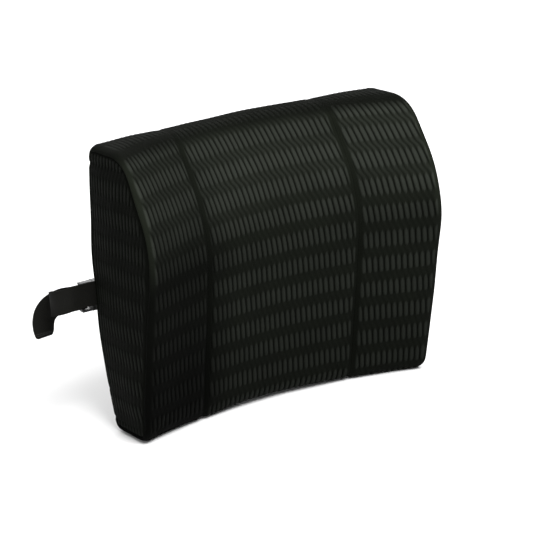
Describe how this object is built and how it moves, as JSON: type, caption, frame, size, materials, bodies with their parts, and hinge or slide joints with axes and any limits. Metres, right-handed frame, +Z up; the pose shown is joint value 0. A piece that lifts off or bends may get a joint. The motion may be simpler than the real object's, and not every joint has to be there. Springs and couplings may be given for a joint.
{
  "type": "lumbar support cushion",
  "caption": "Contoured foam lumbar cushion in a zipped black mesh cover, with a webbing strap and side-release buckle that hold it to a chair back.",
  "frame": {"origin": "on the flat underside that rests on the seat, midway along the cushion's width", "axes": "+X along the width towards the sitter's left as they sit, which is to the right when the front is looked at; +Y from the sitter towards the chair's back; +Z up"},
  "size_m": [0.4185, 0.1605, 0.3],
  "materials": {
    "memory_foam": "open-cell moulded memory foam, off-white",
    "liner_cloth": "thin white knitted liner, matt",
    "front_mesh": "black three-dimensional spacer mesh with tall lens-shaped holes",
    "side_mesh": "black spacer mesh with fine upright ribs",
    "back_mesh": "black spacer mesh, flatter and plainer than the front",
    "webbing": "black woven polypropylene webbing, slightly glossy",
    "buckle_plastic": "black moulded acetal with a fine satin grain",
    "zip_tape": "black woven polyester tape",
    "zip_nylon": "black nylon coil",
    "zip_metal": "black painted zinc casting, satin",
    "label_cloth": "white satin ribbon label, blank"
  },
  "bodies": {
    "cushion": {"foam_core": "memory_foam", "foam_liner": "liner_cloth", "cover_front_left": "front_mesh", "cover_front_center": "front_mesh", "cover_front_right": "front_mesh", "cover_side_left": "side_mesh", "cover_side_right": "side_mesh", "cover_back_upper": "back_mesh", "cover_back_lower": "back_mesh", "zip_tape_upper": "zip_tape", "zip_tape_lower": "zip_tape", "zip_chain_upper": "zip_nylon", "zip_chain_lower": "zip_nylon", "zip_stop_closed_end": "zip_metal", "zip_stop_open_end": "zip_metal", "care_label": "label_cloth", "strap_left_webbing": "webbing", "strap_right_webbing": "webbing", "buckle_female": "buckle_plastic"},
    "buckle_male_half": {"buckle_male": "buckle_plastic"},
    "buckle_upper_arm": {"buckle_arm_upper": "buckle_plastic"},
    "buckle_lower_arm": {"buckle_arm_lower": "buckle_plastic"},
    "zip_slider_body": {"zip_slider": "zip_metal"},
    "zip_pull_tab": {"zip_pull": "zip_metal"}
  },
  "joints": [
    {"name": "buckle_release", "type": "slide", "parent": "cushion", "child": "buckle_male_half", "axis": [-1, 0, 0], "range_m": [0, 0.028], "deforming": ["strap_left_webbing", "buckle_arm_upper", "buckle_arm_lower"]},
    {"name": "buckle_arm_upper_pinch", "type": "hinge", "parent": "buckle_male_half", "child": "buckle_upper_arm", "pos_m": [-0.1595, 0.04875, 0.1431], "axis": [0, 1, 0], "range_deg": [0, 9], "stiffness_Nm_per_rad": 0.5},
    {"name": "buckle_arm_lower_pinch", "type": "hinge", "parent": "buckle_male_half", "child": "buckle_lower_arm", "pos_m": [-0.1595, 0.04875, 0.1229], "axis": [0, 1, 0], "range_deg": [-9, 0], "stiffness_Nm_per_rad": 0.5},
    {"name": "zip_slide", "type": "hinge", "parent": "cushion", "child": "zip_slider_body", "pos_m": [0, -0.942, 0.046], "axis": [0, 0, 1], "range_deg": [0, 14.8]},
    {"name": "zip_pull_flip", "type": "hinge", "parent": "zip_slider_body", "child": "zip_pull_tab", "pos_m": [0.12522, 0.02215, 0.046], "axis": [0, 0, 1], "range_deg": [0, 176]}
  ],
  "couplings": [
    {"joint": "buckle_arm_lower_pinch", "follows": "buckle_arm_upper_pinch", "ratio": -1}
  ]
}
